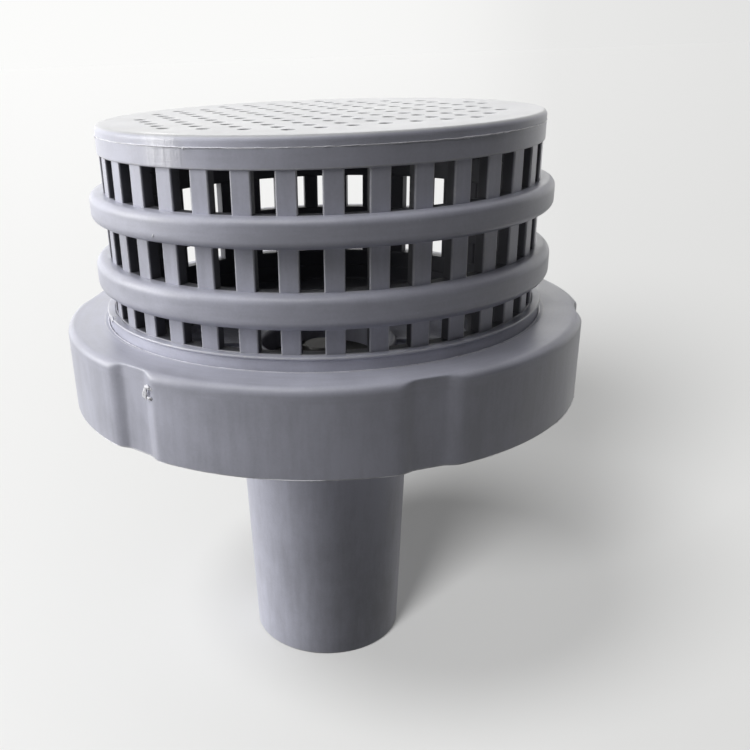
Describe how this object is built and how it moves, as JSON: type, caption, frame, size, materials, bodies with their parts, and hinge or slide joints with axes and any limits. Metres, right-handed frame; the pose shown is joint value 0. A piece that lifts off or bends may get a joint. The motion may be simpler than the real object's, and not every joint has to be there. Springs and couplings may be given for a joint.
{
  "type": "foot valve",
  "caption": "Foot valve: slotted suction strainer held by a scalloped union nut on a body with a spring-loaded poppet and a pipe socket.",
  "frame": {"origin": "centre of the socket's mouth, at the bottom of the valve as it stands on its socket with the strainer up", "axes": "+Z along the valve's axis from the socket to the strainer; -Y faces the side that the scallops at 20 and -40 degrees are seen from; +X to the right of it. In service the valve hangs the other way up."},
  "size_m": [0.1796, 0.1796, 0.198],
  "materials": {
    "pvc_grey": "satin blue-grey moulded PVC",
    "pvc_nut": "satin blue-grey moulded PVC",
    "rubber": "smooth black rubber",
    "acetal": "turned white acetal",
    "stainless": "turned stainless steel",
    "spring_steel": "drawn stainless spring wire"
  },
  "bodies": {
    "valve": {"valve_body": "pvc_grey", "seat_ring": "pvc_grey", "seat_o_ring": "rubber", "union_o_ring": "rubber", "guide_spider": "pvc_grey", "guide_bush": "acetal", "lower_spring_washer": "stainless", "closing_spring": "spring_steel"},
    "poppet": {"upper_spring_washer": "stainless", "poppet_disc": "pvc_grey", "poppet_seal": "rubber", "seal_retainer": "stainless", "poppet_stem": "stainless", "stem_washer": "stainless", "stem_nut": "stainless", "stem_lock_nut": "stainless"},
    "strainer": {"union_collar": "pvc_grey", "strainer_cage": "pvc_grey", "strainer_end_cap": "pvc_grey"},
    "nut": {"union_nut": "pvc_nut"}
  },
  "joints": [
    {"name": "poppet_lift", "type": "slide", "parent": "valve", "child": "poppet", "axis": [0, 0, 1], "range_m": [-0.011, 0], "stiffness_N_per_m": 400, "springref_m": 0.012, "deforming": ["closing_spring"]},
    {"name": "strainer_release", "type": "slide", "parent": "valve", "child": "strainer", "axis": [0, 0, 1], "range_m": [0, 0.01561]},
    {"name": "nut_turn", "type": "hinge", "parent": "strainer", "child": "nut", "pos_m": [0, 0, 0.12], "axis": [0, 0, 1], "range_deg": [0, 936]}
  ],
  "couplings": [
    {"joint": "strainer_release", "follows": "nut_turn", "m_per_rad": 0.00095493}
  ]
}
